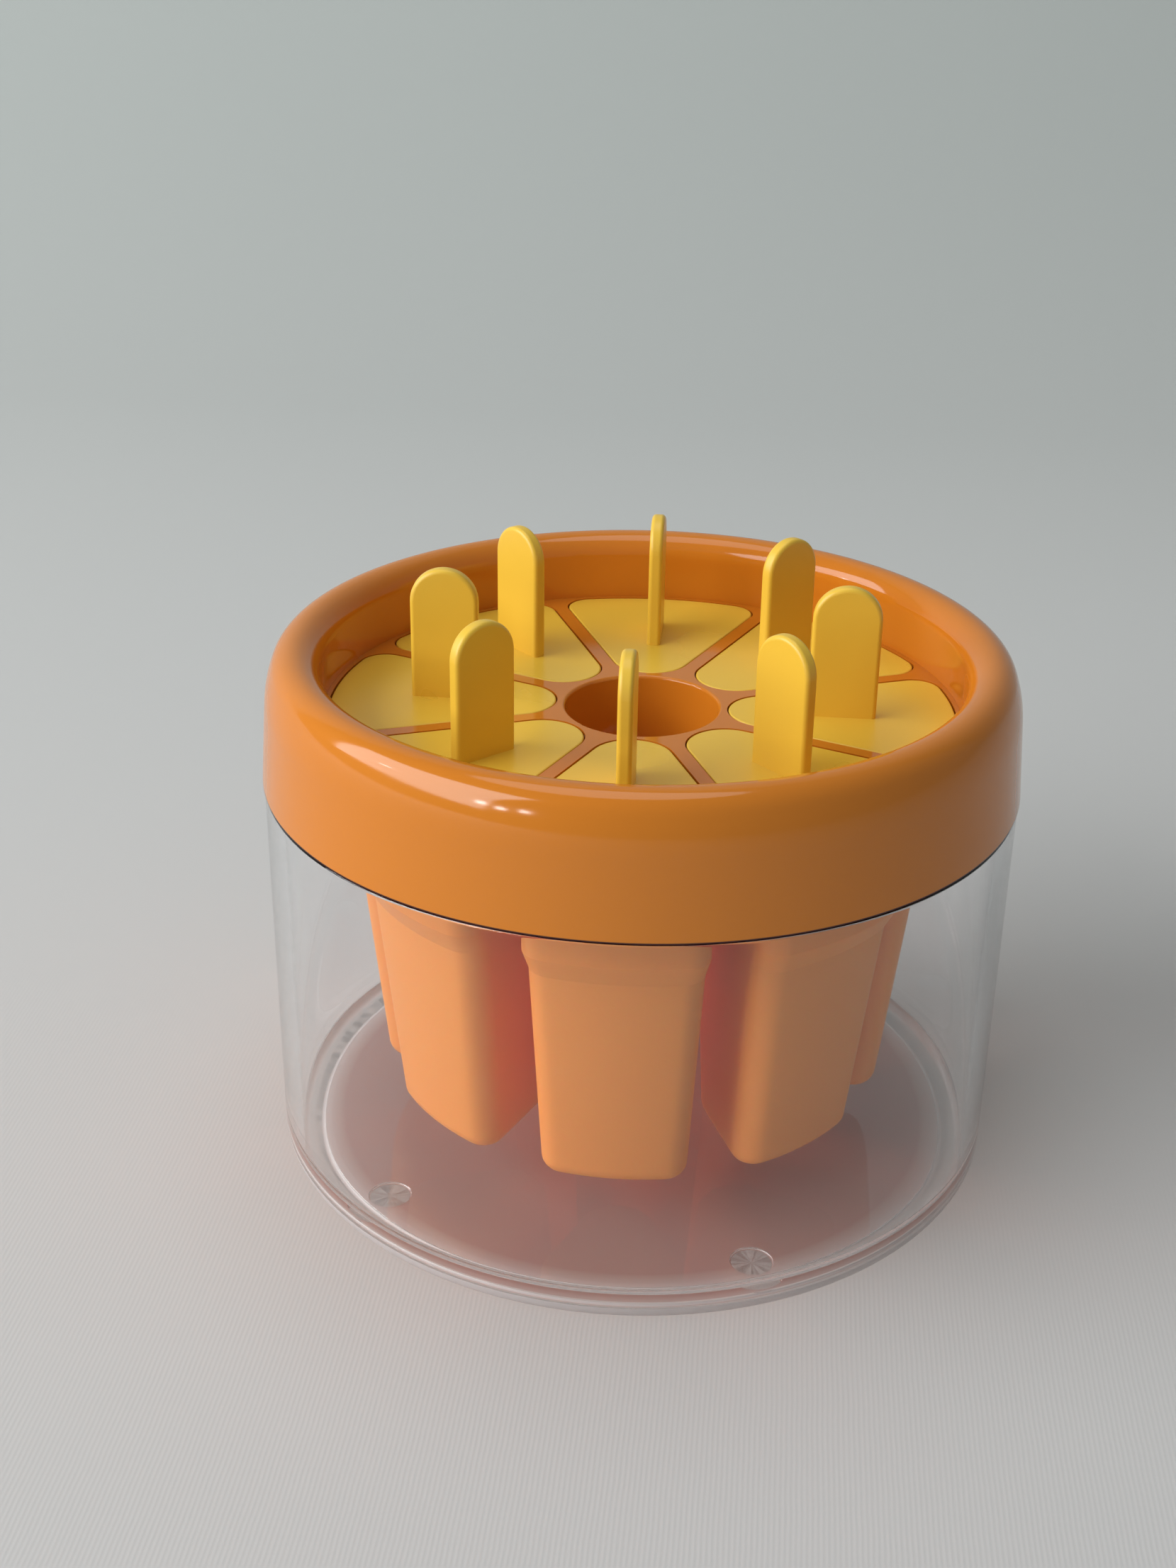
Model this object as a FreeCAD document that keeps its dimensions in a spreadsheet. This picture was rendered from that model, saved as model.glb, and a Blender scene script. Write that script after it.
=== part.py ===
"""Round ice pop mould: a clear jar, a mould of rim, tray and ice wells, and a lid per well."""
import math
import os

import FreeCAD
import Part
import Sketcher

Vector = FreeCAD.Vector

# Driving dimensions in millimetres, angles in degrees. The jar stands on Z = 0 and Z is its axis.
SIZES = [
    ("cell_count", 8, "wells in the mould, one lid each"),
    ("first_cell_angle", 270, "direction of the front cell"),
    ("jar_turn", 260, "direction midway between the two front feet"),
    ("jar_height", 85.3, "table to the shoulder that carries the mould"),
    ("jar_radius", 79.7, "outside, at the shoulder"),
    ("jar_draft", 0.3, "lean of the jar wall"),
    ("jar_wall", 3.6, "wall of the jar"),
    ("jar_floor", 3.0, "floor of the jar"),
    ("jar_corner", 3.2, "outer round at the base"),
    ("jar_inner_corner", 3.0, "inner round at the floor"),
    ("collar_height", 8.5, "jar collar above the shoulder"),
    ("collar_play", 0.3, "play between the jar collar and the skirt"),
    ("foot_height", 1.0, "recess under the floor, and the feet in it"),
    ("foot_radius", 4.4, "radius of one foot"),
    ("foot_inset", 14.2, "jar wall to the centre of a foot"),
    ("foot_spread", 72, "angle between the two front feet"),
    ("base_band", 3.6, "width of the band that the jar stands on"),
    ("seam_edge", 0.4, "round on the edges where mould and jar meet"),
    ("rim_overhang", 0.3, "lower edge of the skirt beyond the jar wall"),
    ("rim_rise", 27.9, "shoulder of the jar to the top of the rolled rim"),
    ("rim_width", 12.8, "lower edge of the skirt to the bowl"),
    ("skirt_draft", 4.0, "lean of the skirt"),
    ("skirt_wall", 1.8, "wall of the skirt"),
    ("rim_side_round", 26, "gentle round above the skirt"),
    ("rim_outer_round", 5.0, "outer round at the rim"),
    ("rim_inner_round", 5.2, "inner round at the rim"),
    ("rim_wall", 2.2, "wall between bowl and channel"),
    ("channel_drop", 6.2, "rim top down to the centre of the round inside the rim"),
    ("bowl_depth", 14.8, "rim top down to the tray face"),
    ("ledge_wall", 2.0, "floor of a lid pocket"),
    ("hub_radius", 16.3, "hub cup at the tray face"),
    ("hub_depth", 21, "depth of the hub cup"),
    ("hub_draft", 7, "lean of the hub cup wall"),
    ("hub_round", 8, "round at the bottom of the hub cup"),
    ("hub_wall", 1.8, "wall of the hub cup"),
    ("hub_edge", 0.7, "round on the edge of the hub cup"),
    ("lid_thickness", 2.5, "lid plate"),
    ("lid_margin", 1.3, "bowl wall to the outer arc of a lid"),
    ("lid_gap", 1.8, "lid plate to the line between two cells"),
    ("lid_hub_gap", 2.0, "hub cup to the inner end of a lid"),
    ("lid_corner", 5.5, "lid plate, outer corners"),
    ("lid_edge", 0.4, "round on the upper edge of a lid"),
    ("lid_play", 0.3, "play of a lid in its pocket"),
    ("well_wall", 1.8, "wall of a well"),
    ("well_round", 3.2, "outer round at the bottom of a well"),
    ("well_inner_round", 1.8, "inner round at the bottom of a well"),
    ("throat_depth", 25.2, "tray face down to the shoulder of a well"),
    ("throat_inset", 1.6, "well above its shoulder, inside the lid at both ends"),
    ("throat_gap", 3.3, "well above its shoulder, to the line between two cells"),
    ("throat_corner", 5.0, "well above its shoulder, outer corners"),
    ("shoulder_drop", 3.0, "height of the shoulder of a well"),
    ("waist_inset", 2.2, "step in of the shoulder, outer arc"),
    ("waist_step", 1.5, "step in of the shoulder, inner end"),
    ("waist_gap", 4.4, "well below its shoulder, to the line between two cells"),
    ("waist_corner", 4.8, "well below its shoulder, outer corners"),
    ("well_clearance", 9.0, "floor of the jar to the underside of a well"),
    ("end_inset", 5.8, "taper of a well, outer arc"),
    ("end_step", 5.6, "taper of a well, inner end"),
    ("end_gap", 5.3, "underside of a well, to the line between two cells"),
    ("end_corner", 4.8, "underside of a well, outer corners"),
    ("stick_inset", 0.2, "middle of a stick inwards of the middle of its lid"),
    ("stick_width", 14.3, "handle, across"),
    ("stick_thickness", 3.0, "handle, through"),
    ("stick_height", 28.4, "handle above the lid"),
    ("stick_edge", 0.9, "round on the edges of the handle"),
    ("blade_width", 11.5, "stick inside the well, across"),
    ("blade_thickness", 2.2, "stick inside the well, through"),
    ("blade_clearance", 23.1, "floor of a well to the end of the stick"),
    ("grip_radius", 2.0, "radius of a grip hole in the blade"),
    ("grip_pitch", 13, "distance between grip holes"),
]

# Values worked out from the driving dimensions.
DERIVED = [
    ("half_angle", "180 / Sizes.cell_count"),
    ("cell_angle", "360 / Sizes.cell_count"),
    ("wall_angle", "90 - Sizes.jar_draft"),
    ("jar_bore", "Sizes.jar_radius - Sizes.jar_wall"),
    ("band_inner", "Sizes.jar_radius - Sizes.jar_corner - Sizes.base_band"),
    ("floor_top", "Sizes.foot_height + Sizes.jar_floor"),
    ("foot_circle", "Sizes.jar_radius - Sizes.foot_inset"),
    ("foot_ahead", "foot_circle * cos(Sizes.foot_spread / 2)"),
    ("foot_aside", "foot_circle * sin(Sizes.foot_spread / 2)"),
    ("rim_radius", "Sizes.jar_radius + Sizes.rim_overhang"),
    ("rim_top", "Sizes.jar_height + Sizes.rim_rise"),
    ("bowl_radius", "rim_radius - Sizes.rim_width"),
    ("collar_top", "Sizes.jar_height + Sizes.collar_height"),
    ("skirt_lean", "Sizes.collar_height * tan(Sizes.skirt_draft)"),
    ("collar_radius", "rim_radius - Sizes.skirt_wall - skirt_lean - Sizes.collar_play"),
    ("skirt_angle", "90 + Sizes.skirt_draft"),
    ("channel_centre", "rim_top - Sizes.channel_drop"),
    ("tray_top", "rim_top - Sizes.bowl_depth"),
    ("tray_thickness", "Sizes.lid_thickness + Sizes.ledge_wall"),
    ("ledge_height", "tray_top - Sizes.lid_thickness"),
    ("tray_bottom", "tray_top - tray_thickness"),
    ("hub_angle", "90 - Sizes.hub_draft"),
    ("hub_floor", "tray_top - Sizes.hub_depth"),
    ("hub_outer", "Sizes.hub_radius + Sizes.hub_wall"),
    ("hub_outer_floor", "hub_floor - Sizes.hub_wall"),
    ("hub_outer_round", "Sizes.hub_round + Sizes.hub_wall"),
    ("lid_tip", "Sizes.hub_radius + Sizes.lid_hub_gap"),
    ("lid_outer", "bowl_radius - Sizes.lid_margin"),
    ("throat_height", "tray_top - Sizes.throat_depth"),
    ("throat_tip", "lid_tip + Sizes.throat_inset"),
    ("throat_outer", "lid_outer - Sizes.throat_inset"),
    ("waist_height", "throat_height - Sizes.shoulder_drop"),
    ("waist_tip", "throat_tip + Sizes.waist_step"),
    ("waist_outer", "throat_outer - Sizes.waist_inset"),
    ("end_height", "floor_top + Sizes.well_clearance"),
    ("end_tip", "waist_tip + Sizes.end_step"),
    ("end_outer", "waist_outer - Sizes.end_inset"),
    ("well_floor", "end_height + Sizes.well_wall"),
    ("throat_floor", "throat_height + Sizes.well_wall / 2"),
    ("waist_floor", "waist_height + Sizes.well_wall / 2"),
    ("stick_centre", "(lid_tip + lid_outer) / 2 - Sizes.stick_inset"),
    ("handle_side", "Sizes.stick_width / 2"),
    ("handle_centre", "tray_top + Sizes.stick_height - handle_side"),
    ("blade_side", "Sizes.blade_width / 2"),
    ("blade_centre", "well_floor + Sizes.blade_clearance + blade_side"),
]

# Wedge outlines: name, then what its gap, inner end, outer arc and corners are.
WEDGES = [
    ("lid", "Sizes.lid_gap", "lid_tip", "lid_outer", "Sizes.lid_corner"),
    ("pocket", "Sizes.lid_gap - Sizes.lid_play", "lid_tip - Sizes.lid_play",
     "lid_outer + Sizes.lid_play", "Sizes.lid_corner + Sizes.lid_play"),
]
for level in ("throat", "waist", "end"):
    parts = [rule % level for rule in ("Sizes.%s_gap", "%s_tip", "%s_outer", "Sizes.%s_corner")]
    signs = ("+", "+", "-", "-")
    WEDGES.append((level, *parts))
    WEDGES.append((level + "_bore",
                   *["%s %s Sizes.well_wall" % pair for pair in zip(parts, signs)]))

for wedge, gap, tip, outer, corner in WEDGES:
    DERIVED += [
        (wedge + "_wedge_gap", gap),
        (wedge + "_wedge_tip", tip),
        (wedge + "_wedge_outer", outer),
        (wedge + "_wedge_corner", corner),
        (wedge + "_wedge_centre",
         "(%s_wedge_tip - %s_wedge_gap) / (1 - sin(half_angle))" % (wedge, wedge)),
        (wedge + "_wedge_end",
         "%s_wedge_centre * sin(half_angle) - %s_wedge_gap" % (wedge, wedge)),
    ]

document = FreeCAD.newDocument("IcePopMould")
SIZE_NAMES = {row[0] for row in SIZES}


def make_sheet(name, rows):
    """One sheet with a name, a value and, where given, a note in each row."""
    sheet = document.addObject("Spreadsheet::Sheet", name)
    for number, row in enumerate(rows, start=1):
        value = str(row[1])
        plain = name == "Sizes"
        sheet.set("A%d" % number, row[0])
        sheet.set("B%d" % number, value if plain else "=" + value)
        sheet.setAlias("B%d" % number, row[0])
        if plain:
            sheet.set("C%d" % number, row[2])
    document.recompute()
    return sheet


sizes = make_sheet("Sizes", SIZES)
derived = make_sheet("Derived", DERIVED)


def cell(name):
    """The way an expression names a value."""
    return ("Sizes." if name in SIZE_NAMES else "Derived.") + name


def size(name):
    """A value as a plain number."""
    sheet = sizes if name in SIZE_NAMES else derived
    found = sheet.get(name)
    return float(getattr(found, "Value", found))


def origin_part(body, role):
    """A plane or axis of the body's own origin."""
    return next(item for item in body.Origin.OriginFeatures if item.Role == role)


def make_body(name):
    body = document.addObject("PartDesign::Body", name)
    body.Label = name
    return body


def make_sketch(body, name, role, height=None):
    """A sketch on an origin plane, raised to a named height."""
    sketch = body.newObject("Sketcher::SketchObject", name)
    sketch.AttachmentSupport = [(origin_part(body, role), "")]
    sketch.MapMode = "FlatFace"
    if height:
        sketch.AttachmentOffset = FreeCAD.Placement(Vector(0, 0, size(height)), FreeCAD.Rotation())
        sketch.setExpression("AttachmentOffset.Base.z", cell(height))
    return sketch


def drive(sketch, kind, places, name):
    """A constraint whose value is a cell."""
    value = size(name)
    rule = cell(name)
    if kind == "Angle":
        value = math.radians(value)
        rule = rule + " * 1 deg"
    index = sketch.addConstraint(Sketcher.Constraint(kind, *places, value))
    sketch.setExpression("Constraints[%d]" % index, rule)


def relate(sketch, rows):
    """Constraints without a value."""
    for kind, *places in rows:
        sketch.addConstraint(Sketcher.Constraint(kind, *places))


def line(start, end):
    return Part.LineSegment(Vector(*start, 0), Vector(*end, 0))


def arc(centre, radius, start, end):
    """An arc of a circle from one angle in degrees to another."""
    circle = Part.Circle(Vector(*centre, 0), Vector(0, 0, 1), radius)
    return Part.ArcOfCircle(circle, math.radians(start), math.radians(end))


def sketch_wedge(body, name, wedge, height):
    """Outline of a cell: an outer arc, two rounded corners, two sides and a round inner end."""
    sketch = make_sketch(body, name, "XY_Plane", height)
    prefix = wedge + "_wedge_"
    gap, outer, corner = (size(prefix + part) for part in ("gap", "outer", "corner"))
    centre, end = size(prefix + "centre"), size(prefix + "end")
    half = math.radians(size("half_angle"))
    side = Vector(-math.sin(half), math.cos(half), 0)
    reach = outer - corner
    lean = half - math.asin((gap + corner) / reach)
    corner_centre = Vector(reach * math.cos(lean), reach * math.sin(lean), 0)
    near = Vector(centre, 0, 0) + side * end
    far = corner_centre + side * corner
    turn, tilt = size("half_angle"), math.degrees(lean)
    geometry = [
        arc((0, 0), outer, -tilt, tilt),
        arc((corner_centre.x, corner_centre.y), corner, tilt, 90 + turn),
        line((near.x, near.y), (far.x, far.y)),
        arc((centre, 0), end, 90 + turn, 270 - turn),
        line((near.x, -near.y), (far.x, -far.y)),
        arc((corner_centre.x, -corner_centre.y), corner, 270 - turn, 360 - tilt),
    ]
    sketch.addGeometry(geometry, False)
    relate(sketch, [
        ("Tangent", 0, 2, 1, 1), ("Tangent", 1, 2, 2, 2), ("Tangent", 2, 1, 3, 1),
        ("Tangent", 3, 2, 4, 1), ("Tangent", 4, 2, 5, 1), ("Tangent", 5, 2, 0, 1),
        ("Coincident", 0, 3, -1, 1), ("PointOnObject", 3, 3, -1), ("Equal", 1, 5),
    ])
    drive(sketch, "DistanceX", (-1, 1, 3, 3), prefix + "centre")
    drive(sketch, "Radius", (0,), prefix + "outer")
    drive(sketch, "Radius", (1,), prefix + "corner")
    drive(sketch, "Radius", (3,), prefix + "end")
    drive(sketch, "Angle", (2,), "half_angle")
    drive(sketch, "Angle", (4, 1, 2, 1), "cell_angle")
    return sketch


def revolve(body, kind, name, sketch):
    """A revolution or groove, full turn about the sketch's vertical axis."""
    feature = body.newObject("PartDesign::" + kind, name)
    feature.Profile = sketch
    feature.ReferenceAxis = (sketch, ["V_Axis"])
    feature.Angle = 360
    return feature


def pad(body, kind, name, sketch, length):
    """A pad or pocket of a named length."""
    feature = body.newObject("PartDesign::" + kind, name)
    feature.Profile = sketch
    feature.Length = size(length)
    feature.setExpression("Length", cell(length))
    return feature


def loft(body, kind, name, sections):
    feature = body.newObject("PartDesign::" + kind, name)
    feature.Profile = sections[0]
    feature.Sections = sections[1:]
    feature.Ruled = True
    return feature


def ring_pattern(body, name, features, count=None):
    """The features again in every cell, or a given number of times."""
    pattern = body.newObject("PartDesign::PolarPattern", name)
    pattern.Originals = features
    pattern.Axis = (origin_part(body, "Z_Axis"), [""])
    pattern.Angle = 360
    pattern.Occurrences = count or int(size("cell_count"))
    if count is None:
        pattern.setExpression("Occurrences", "Sizes.cell_count")
    body.Tip = pattern
    return pattern


def fillet(body, name, radius, chosen):
    """A fillet on the edges of the body that a test picks."""
    document.recompute()
    base = body.Tip
    edges = ["Edge%d" % number for number, edge in enumerate(base.Shape.Edges, 1) if chosen(edge)]
    feature = body.newObject("PartDesign::Fillet", name)
    feature.Base = (base, edges)
    feature.Radius = size(radius)
    feature.setExpression("Radius", cell(radius))
    return feature


def flat_at(edge, height):
    """Whether an edge lies at one height."""
    box = edge.BoundBox
    return abs(box.ZMin - height) < 0.01 and abs(box.ZMax - height) < 0.01


def round_about_axis(edge, radius):
    """Whether an edge is a full circle of this radius about Z."""
    return isinstance(edge.Curve, Part.Circle) and abs(edge.Curve.Radius - radius) < 0.01 \
        and abs(edge.Curve.Center.x) < 0.01 and abs(edge.Curve.Center.y) < 0.01


def make_jar():
    """Clear jar: a floor on a standing band and four feet, a wall, and a collar above a shoulder."""
    body = make_body("storage_jar")
    sketch = make_sketch(body, "JarSection", "XZ_Plane")
    radius, height, top = size("jar_radius"), size("jar_height"), size("collar_top")
    bore, collar, band = size("jar_bore"), size("collar_radius"), size("band_inner")
    foot, floor = size("foot_height"), size("floor_top")
    corner, inner = size("jar_corner"), size("jar_inner_corner")
    draft = size("jar_draft")
    slope = math.tan(math.radians(draft))
    outer_x = radius - height * slope - corner
    inner_x = bore - (top - floor) * slope - inner
    geometry = [
        line((outer_x + corner, corner), (radius, height)),
        arc((outer_x, corner), corner, 270, 360 - draft),
        line((band, 0), (outer_x, 0)),
        line((band, foot), (band, 0)),
        line((0, foot), (band, foot)),
        line((0, floor), (0, foot)),
        line((0, floor), (inner_x, floor)),
        arc((inner_x, floor + inner), inner, 270, 360 - draft),
        line((inner_x + inner, floor + inner), (bore, top)),
        line((bore, top), (collar, top)),
        line((collar, top), (collar, height)),
        line((collar, height), (radius, height)),
    ]
    sketch.addGeometry(geometry, False)
    relate(sketch, [
        ("Tangent", 1, 2, 0, 1), ("Tangent", 2, 2, 1, 1), ("Coincident", 3, 2, 2, 1),
        ("Coincident", 4, 2, 3, 1), ("Coincident", 5, 2, 4, 1), ("Coincident", 6, 1, 5, 1),
        ("Tangent", 6, 2, 7, 1), ("Tangent", 7, 2, 8, 1), ("Coincident", 8, 2, 9, 1),
        ("Coincident", 9, 2, 10, 1), ("Coincident", 10, 2, 11, 1), ("Coincident", 11, 2, 0, 2),
        ("Horizontal", 2), ("Horizontal", 4), ("Horizontal", 6), ("Horizontal", 9),
        ("Horizontal", 11), ("Vertical", 3), ("Vertical", 5), ("Vertical", 10),
        ("Parallel", 0, 8), ("PointOnObject", 5, 1, -2), ("PointOnObject", 2, 1, -1),
    ])
    drive(sketch, "Angle", (0,), "wall_angle")
    drive(sketch, "Radius", (1,), "jar_corner")
    drive(sketch, "Radius", (7,), "jar_inner_corner")
    drive(sketch, "DistanceX", (-1, 1, 0, 2), "jar_radius")
    drive(sketch, "DistanceY", (-1, 1, 0, 2), "jar_height")
    drive(sketch, "DistanceX", (-1, 1, 2, 1), "band_inner")
    drive(sketch, "DistanceY", (-1, 1, 4, 1), "foot_height")
    drive(sketch, "DistanceY", (-1, 1, 5, 1), "floor_top")
    drive(sketch, "DistanceX", (-1, 1, 8, 2), "jar_bore")
    drive(sketch, "DistanceY", (-1, 1, 9, 2), "collar_top")
    drive(sketch, "DistanceX", (-1, 1, 9, 2), "collar_radius")
    revolve(body, "Revolution", "JarShell", sketch)

    feet = make_sketch(body, "FootOutline", "XY_Plane")
    ahead, aside = size("foot_ahead"), size("foot_aside")
    for index, sign in enumerate((1, -1)):
        circle = Part.Circle(Vector(ahead, sign * aside, 0), Vector(0, 0, 1), size("foot_radius"))
        feet.addGeometry(circle, False)
        drive(feet, "Radius", (index,), "foot_radius")
    relate(feet, [("Symmetric", 0, 3, 1, 3, -1)])
    drive(feet, "DistanceX", (-1, 1, 0, 3), "foot_ahead")
    drive(feet, "DistanceY", (-1, 1, 0, 3), "foot_aside")
    front_feet = pad(body, "Pad", "FrontFeet", feet, "foot_height")
    ring_pattern(body, "AllFeet", [front_feet], 2)
    fillet(body, "JarSeam", "seam_edge",
           lambda edge: flat_at(edge, height) and round_about_axis(edge, radius))
    body.Placement.Rotation = FreeCAD.Rotation(Vector(0, 0, 1), size("jar_turn"))
    body.setExpression("Placement.Rotation.Angle", cell("jar_turn"))
    return body


def sketch_rim(body):
    """Section of the rim: an outer skirt, a rolled top, the bowl wall and the channel inside."""
    sketch = make_sketch(body, "RimSection", "XZ_Plane")
    radius, bottom, top = size("rim_radius"), size("jar_height"), size("rim_top")
    bowl, wall, thin = size("bowl_radius"), size("rim_wall"), size("skirt_wall")
    side, outer, inner = size("rim_side_round"), size("rim_outer_round"), size("rim_inner_round")
    tray, middle = size("tray_bottom"), size("channel_centre")
    draft = math.radians(size("skirt_draft"))
    up = Vector(-math.sin(draft), math.cos(draft), 0)
    inward = Vector(-math.cos(draft), -math.sin(draft), 0)
    edge = Vector(radius, bottom, 0)
    crown = Vector(bowl + inner, top - outer, 0)
    reach = edge + inward * side - crown
    along = reach.dot(up)
    run = -along - math.sqrt(along ** 2 - reach.Length ** 2 + (side - outer) ** 2)
    flank = edge + up * run + inward * side
    spread = crown - flank
    blend = math.degrees(math.atan2(spread.y, spread.x))
    lip = Vector(radius - thin, bottom, 0)
    channel = bowl + wall
    roof = (math.cos(draft) * (lip.x - channel) - math.sin(draft) * (middle - bottom)) \
        / (1 + math.cos(draft))
    roof_centre = Vector(channel + roof, middle, 0)
    meet = roof_centre - inward * roof
    rise = edge + up * run
    lean = size("skirt_draft")
    geometry = [
        line((radius, bottom), (rise.x, rise.y)),
        arc((flank.x, flank.y), side, lean, blend),
        arc((crown.x, crown.y), outer, blend, 90),
        arc((bowl + inner, top - inner), inner, 90, 180),
        line((bowl, top - inner), (bowl, tray)),
        line((bowl, tray), (channel, tray)),
        line((channel, tray), (channel, middle)),
        arc((roof_centre.x, roof_centre.y), roof, lean, 180),
        line((meet.x, meet.y), (lip.x, lip.y)),
        line((lip.x, lip.y), (radius, bottom)),
    ]
    sketch.addGeometry(geometry, False)
    relate(sketch, [
        ("Tangent", 0, 2, 1, 1), ("Tangent", 1, 2, 2, 1), ("Tangent", 2, 2, 3, 1),
        ("Tangent", 3, 2, 4, 1), ("Coincident", 4, 2, 5, 1), ("Coincident", 5, 2, 6, 1),
        ("Tangent", 6, 2, 7, 2), ("Tangent", 7, 1, 8, 1), ("Coincident", 8, 2, 9, 1),
        ("Coincident", 9, 2, 0, 1), ("Vertical", 4), ("Horizontal", 5), ("Vertical", 6),
        ("Horizontal", 9), ("Parallel", 0, 8), ("Vertical", 2, 3, 2, 2),
    ])
    drive(sketch, "Angle", (0,), "skirt_angle")
    drive(sketch, "Radius", (1,), "rim_side_round")
    drive(sketch, "Radius", (2,), "rim_outer_round")
    drive(sketch, "Radius", (3,), "rim_inner_round")
    drive(sketch, "DistanceY", (-1, 1, 2, 2), "rim_top")
    drive(sketch, "DistanceX", (-1, 1, 4, 2), "bowl_radius")
    drive(sketch, "DistanceY", (-1, 1, 4, 2), "tray_bottom")
    drive(sketch, "DistanceX", (5, 1, 5, 2), "rim_wall")
    drive(sketch, "DistanceY", (-1, 1, 7, 3), "channel_centre")
    drive(sketch, "DistanceX", (-1, 1, 9, 2), "rim_radius")
    drive(sketch, "DistanceY", (-1, 1, 9, 2), "jar_height")
    drive(sketch, "DistanceX", (9, 1, 9, 2), "skirt_wall")
    return sketch


def sketch_cup(body, name, mouth, floor, rounding):
    """Half section of the hub cup or of its hollow, from its floor up to the tray face."""
    sketch = make_sketch(body, name, "XZ_Plane")
    wide, low, bend, top = size(mouth), size(floor), size(rounding), size("tray_top")
    draft = size("hub_draft")
    slope = math.tan(math.radians(draft))
    narrow = wide - (top - low - bend) * slope
    geometry = [
        line((0, low), (narrow - bend, low)),
        arc((narrow - bend, low + bend), bend, 270, 360 - draft),
        line((narrow, low + bend), (wide, top)),
        line((wide, top), (0, top)),
        line((0, top), (0, low)),
    ]
    sketch.addGeometry(geometry, False)
    relate(sketch, [
        ("Tangent", 0, 2, 1, 1), ("Tangent", 1, 2, 2, 1), ("Coincident", 2, 2, 3, 1),
        ("Coincident", 3, 2, 4, 1), ("Coincident", 4, 2, 0, 1), ("Horizontal", 0),
        ("Horizontal", 3), ("Vertical", 4), ("PointOnObject", 4, 1, -2),
    ])
    drive(sketch, "Radius", (1,), rounding)
    drive(sketch, "Angle", (2,), "hub_angle")
    drive(sketch, "DistanceX", (-1, 1, 2, 2), mouth)
    drive(sketch, "DistanceY", (-1, 1, 2, 2), "tray_top")
    drive(sketch, "DistanceY", (-1, 1, 0, 1), floor)
    return sketch


def make_rim():
    """Mould rim: a rolled ring with an outer skirt and the wall of the bowl."""
    body = make_body("mould_rim")
    revolve(body, "Revolution", "Rim", sketch_rim(body))
    seam = size("jar_height")
    fillet(body, "SkirtSeam", "seam_edge",
           lambda edge: flat_at(edge, seam) and round_about_axis(edge, size("rim_radius")))
    return body


def make_tray():
    """Mould tray: a plate inside the rim with a hub cup and eight open lid pockets."""
    body = make_body("mould_tray")
    plate = make_sketch(body, "TrayOutline", "XY_Plane", "tray_bottom")
    plate.addGeometry(Part.Circle(Vector(0, 0, 0), Vector(0, 0, 1), size("bowl_radius")), False)
    relate(plate, [("Coincident", 0, 3, -1, 1)])
    drive(plate, "Radius", (0,), "bowl_radius")
    pad(body, "Pad", "Tray", plate, "tray_thickness")
    cup = sketch_cup(body, "HubSection", "hub_outer", "hub_outer_floor", "hub_outer_round")
    revolve(body, "Revolution", "Hub", cup)
    hollow = sketch_cup(body, "HubHollowSection", "hub_radius", "hub_floor", "hub_round")
    revolve(body, "Groove", "HubHollow", hollow)

    mouth = sketch_wedge(body, "MouthOutline", "throat_bore", "tray_top")
    mouth_cut = pad(body, "Pocket", "WellMouth", mouth, "tray_thickness")
    seat = sketch_wedge(body, "PocketOutline", "pocket", "tray_top")
    seat_cut = pad(body, "Pocket", "LidPocket", seat, "lid_thickness")
    ring_pattern(body, "AllPockets", [mouth_cut, seat_cut])
    fillet(body, "HubEdge", "hub_edge",
           lambda edge: flat_at(edge, size("tray_top")) and round_about_axis(edge, size("hub_radius")))
    body.Placement.Rotation = FreeCAD.Rotation(Vector(0, 0, 1), size("first_cell_angle"))
    body.setExpression("Placement.Rotation.Angle", cell("first_cell_angle"))
    return body


def turn_to_cell(body, number):
    """Turns a body that was drawn along X to its own cell."""
    body.Placement.Rotation = FreeCAD.Rotation(Vector(0, 0, 1), 0)
    turn = "Sizes.first_cell_angle + %d * Derived.cell_angle" % number
    body.setExpression("Placement.Rotation.Angle", turn)


def make_well(number):
    """An ice well: a tapered wedge cup with a shoulder, open at the underside of the tray."""
    body = make_body("ice_well_%d" % (number + 1))
    skins = [
        sketch_wedge(body, "WellEnd", "end", "end_height"),
        sketch_wedge(body, "WellWaist", "waist", "waist_height"),
        sketch_wedge(body, "WellThroat", "throat", "throat_height"),
        sketch_wedge(body, "WellTop", "throat", "tray_bottom"),
    ]
    loft(body, "AdditiveLoft", "Well", skins)
    bores = [
        sketch_wedge(body, "BoreEnd", "end_bore", "well_floor"),
        sketch_wedge(body, "BoreWaist", "waist_bore", "waist_floor"),
        sketch_wedge(body, "BoreThroat", "throat_bore", "throat_floor"),
        sketch_wedge(body, "BoreTop", "throat_bore", "tray_bottom"),
    ]
    loft(body, "SubtractiveLoft", "Bore", bores)
    low, floor = size("end_height"), size("well_floor")
    fillet(body, "WellRounds", "well_round", lambda edge: flat_at(edge, low))
    fillet(body, "BoreRounds", "well_inner_round", lambda edge: flat_at(edge, floor))
    turn_to_cell(body, number)
    return body


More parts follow.
